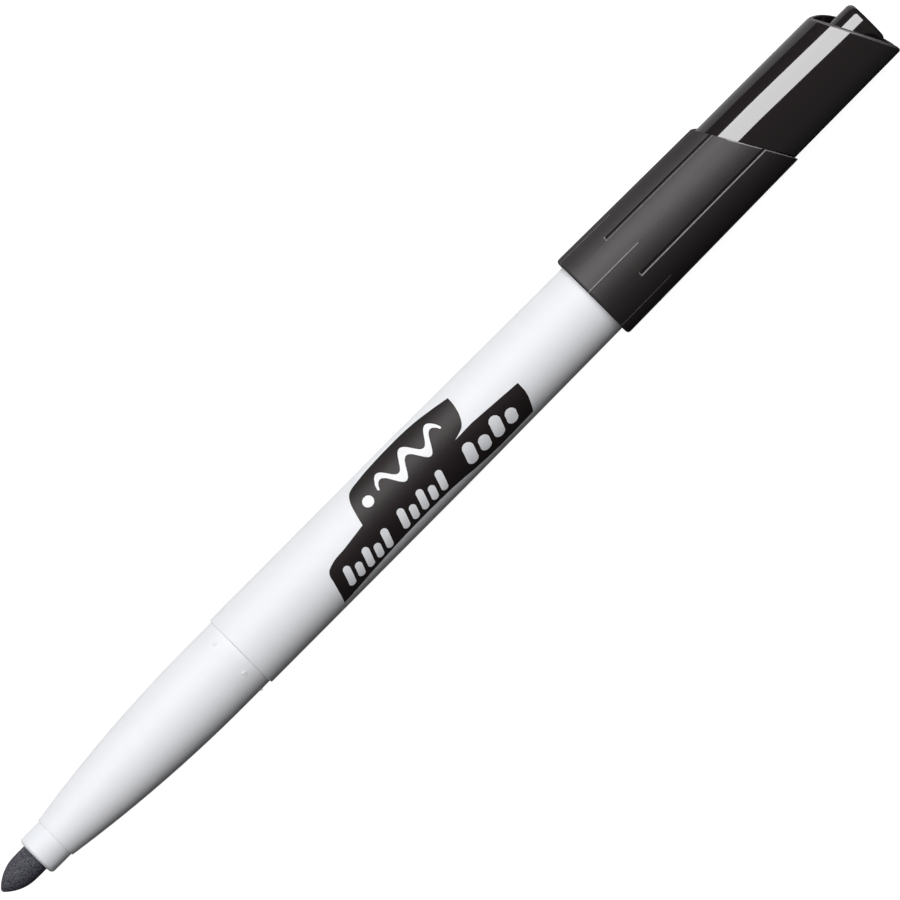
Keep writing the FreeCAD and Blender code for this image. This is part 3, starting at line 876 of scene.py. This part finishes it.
def wrap_on_barrel(piece, lift, film):
    """Cut a flat print into narrow facets, lay it round the barrel and give it its thickness."""
    bpy.ops.object.mode_set(mode="EDIT")
    bpy.ops.mesh.select_all(action="SELECT")
    bpy.ops.mesh.remove_doubles(threshold=CLOSE)
    reach = max(abs(corner[1]) for corner in piece.bound_box)
    cuts = math.ceil(reach / PRINT_FACET)
    for cut in range(-cuts, cuts + 1):
        bpy.ops.mesh.select_all(action="SELECT")
        bpy.ops.mesh.bisect(plane_co=(0, cut * PRINT_FACET, 0), plane_no=(0, 1, 0))
    bpy.ops.mesh.select_all(action="SELECT")
    bpy.ops.mesh.bisect(plane_co=(taper_start, 0, 0), plane_no=(1, 0, 0))
    mesh = bmesh.from_edit_mesh(piece.data)
    for point in mesh.verts:
        radius = BARREL_RADIUS - BARREL_DRAFT * max(0.0, point.co.x - taper_start) + lift
        turn = point.co.y / BARREL_RADIUS
        point.co.y = radius * math.sin(turn)
        point.co.z = radius * math.cos(turn)
    bmesh.update_edit_mesh(piece.data)
    bpy.ops.mesh.select_all(action="SELECT")
    bpy.ops.mesh.normals_make_consistent(inside=False)
    bpy.ops.object.mode_set(mode="OBJECT")
    if sum(polygon.normal.z for polygon in piece.data.polygons) < 0:
        piece.data.flip_normals()
    wall = piece.modifiers.new("film", "SOLIDIFY")
    wall.thickness = film
    wall.offset = 1.0
    bpy.ops.object.modifier_apply(modifier="film")


def smooth(*points):
    return [(x, s, "AUTO") for x, s in points]


def corners(*points):
    return [(x, s, "VECTOR") for x, s in points]


def make_panel():
    """A black ground in two tiers: a sail-shaped upper one and a long lower one."""
    outline = (
        corners((-12.9, -0.3))
        + smooth((-12.4, -2.3), (-11.85, -4.0), (-11.1, -5.1))
        + smooth((-9.2, -5.7), (-6.3, -6.1), (-3.3, -6.26), (0.2, -6.1), (3.6, -5.4))
        + corners((6.6, -4.6))
        + smooth((6.45, -2.8), (5.95, -1.2), (5.2, -0.2), (4.4, 0.15))
        + corners((3.4, 0.44), (6.5, 0.37), (14.4, 0.96))
        + smooth((14.3, 2.7), (13.75, 4.5))
        + corners((13.2, 6.15))
        + smooth((7.1, 6.25), (3.4, 5.94), (0.2, 5.4), (-5.0, 5.15), (-10.8, 5.27), (-15.5, 5.66))
        + corners((-21.7, 6.42))
        + smooth((-20.8, 2.4), (-20.4, 1.1), (-19.5, 0.55), (-16.4, 0.15))
    )
    piece = flat_outline("print_panel", [outline])
    wrap_on_barrel(piece, PRINT_LIFT - PRINT_FILM, PRINT_FILM)
    finish_piece(piece, [PANEL_INK], "print_black", "marker")


def bar(x, s, height, width, lean):
    """One slanted bar with rounded ends, standing on s."""
    half = width / 2
    steps = 6
    points = []
    for middle_s, first_angle in ((s - half, 0), (s - height + half, math.pi)):
        middle_x = x + (s - middle_s) * lean
        for step in range(steps + 1):
            angle = first_angle + math.pi * step / steps
            points.append((middle_x + half * math.cos(angle), middle_s + half * math.sin(angle)))
    return corners(*points)


def make_strokes():
    """A row of slanted silver bars in three groups, the last one bolder. Every other bar is
    shorter."""
    lean = 0.3
    short_share = 0.74
    outlines = []
    for first, foot, count, pitch, width, height in (
        (-19.2, 4.95, 5, 1.72, 1.12, 3.1),
        (-9.0, 4.6, 5, 1.75, 1.12, 3.1),
        (3.1, 4.9, 4, 2.45, 1.75, 3.3),
    ):
        for number in range(count):
            share = 1.0 if number % 2 == 0 else short_share
            outlines.append(bar(first + number * pitch, foot, height * share, width, lean))
    piece = flat_outline("print_strokes", outlines)
    wrap_on_barrel(piece, PRINT_LIFT, PRINT_FILM / 2)
    finish_piece(piece, [SILVER_INK], "print_silver", "marker")


def make_wave():
    """A brush-like wave, thin at its ends, and a dot, in white above the row."""
    start = -8.2
    length = 11.4
    middle = -2.3
    swing = 1.25
    waves = 2.5
    steps = 28
    upper = []
    lower = []
    for step in range(steps + 1):
        share = step / steps
        x = start + length * share
        s = middle - swing * math.sin(share * waves * math.tau)
        half = 0.28 + 0.5 * math.sin(math.pi * share) ** 0.6
        upper.append((x, s - half))
        lower.append((x, s + half))

    dot_x = -10.2
    dot_s = -2.0
    dot_radius = 0.8
    dot_sides = 8
    dot = []
    for step in range(dot_sides):
        angle = step * math.tau / dot_sides
        dot.append((dot_x + dot_radius * math.cos(angle), dot_s + dot_radius * math.sin(angle)))
    piece = flat_outline("print_wave", [smooth(*upper, *reversed(lower)), smooth(*dot)])
    wrap_on_barrel(piece, PRINT_LIFT, PRINT_FILM / 2)
    finish_piece(piece, [WHITE_INK], "print_silver", "marker")


make_panel()
make_strokes()
make_wave()


# ---------------------------------------------------------------- studio

def panel_light(name, first, last, radiance, lights_matt):
    """A soft rectangle along the marker that covers the directions from first to last, in
    degrees from straight up towards +Y. It either lights matt surfaces or shows in glossy ones."""
    reach = 1.0
    length = 1.6
    across = 2 * reach * math.tan(math.radians(last - first) / 2)
    light = bpy.data.lights.new(name, "AREA")
    light.shape = "RECTANGLE"
    light.size = length
    light.size_y = across
    light.energy = radiance * math.pi * length * across
    lamp = bpy.data.objects.new(name, light)
    bpy.context.scene.collection.objects.link(lamp)
    angle = math.radians((first + last) / 2)
    lamp.location = (0, reach * math.sin(angle), AXIS_HEIGHT + reach * math.cos(angle))
    lamp.rotation_euler = (-angle, 0, 0)
    lamp.visible_camera = False
    lamp.visible_diffuse = lights_matt
    lamp.visible_glossy = not lights_matt


def make_floor():
    """A plain pale table that lights nothing and only carries a trace of shadow."""
    deselect()
    bpy.ops.mesh.primitive_plane_add(size=8.0)
    floor = bpy.context.object
    floor.name = "table_floor"
    material = bpy.data.materials.new("pale_table")
    material.use_nodes = True
    feed(material, material.node_tree.nodes["Principled BSDF"], {
        "Base Color": srgb("#8C8C8C"),
        "Roughness": 1.0,
        "Specular IOR Level": 0.0,
        "Emission Color": srgb("#FFFFFF"),
        "Emission Strength": 0.97,
    })
    floor.data.materials.append(material)
    floor.visible_diffuse = False
    floor.visible_glossy = False
    floor.visible_shadow = False


def make_room():
    """A pale backdrop to the camera; to polished plastic, a dim room above a dark table edge."""
    world = bpy.data.worlds.new("pale_room")
    bpy.context.scene.world = world
    world.use_nodes = True
    world.cycles_visibility.diffuse = False
    backdrop = world.node_tree.nodes["Background"]
    backdrop.inputs["Color"].default_value = srgb("#FCFCFC")
    direction = add(world, "ShaderNodeTexCoord", {})
    up = add(world, "ShaderNodeSeparateXYZ", {"Vector": direction.outputs["Generated"]})
    dimness = add(world, "ShaderNodeMapRange",
                  {"Value": up.outputs["Z"], "From Min": -1.0, "From Max": 0.3,
                   "To Min": 0.0, "To Max": 0.24})
    room = add(world, "ShaderNodeBackground", {"Strength": dimness.outputs["Result"]})
    ray = add(world, "ShaderNodeLightPath", {})
    seen = add(world, "ShaderNodeMixShader",
               {"Fac": ray.outputs["Is Camera Ray"], 1: room.outputs[0], 2: backdrop.outputs[0]})
    feed(world, world.node_tree.nodes["World Output"], {"Surface": seen.outputs[0]})


def make_camera():
    """A very long lens straight above, so that the marker is seen nearly without perspective."""
    lens = bpy.data.cameras.new("camera")
    lens.lens = CAMERA_LENS
    lens.sensor_width = CAMERA_SENSOR
    camera = bpy.data.objects.new("camera", lens)
    bpy.context.scene.collection.objects.link(camera)
    camera.location = (*VIEW_MIDDLE, AXIS_HEIGHT + VIEW_WIDTH * CAMERA_LENS / CAMERA_SENSOR)
    camera.rotation_euler = (0, 0, math.radians(VIEW_TURN))
    bpy.context.scene.camera = camera
    bpy.context.scene.view_settings.view_transform = "Standard"


panel_light("overhead_key", 2, 38, radiance=4.35, lights_matt=True)
panel_light("low_card", 108, 165, radiance=2.0, lights_matt=True)
panel_light("table_bounce", -155, -88, radiance=0.12, lights_matt=True)
panel_light("side_strip", 17.4, 67, radiance=12.9, lights_matt=False)
panel_light("low_glow", 108, 170, radiance=0.55, lights_matt=False)
make_floor()
make_room()
make_camera()
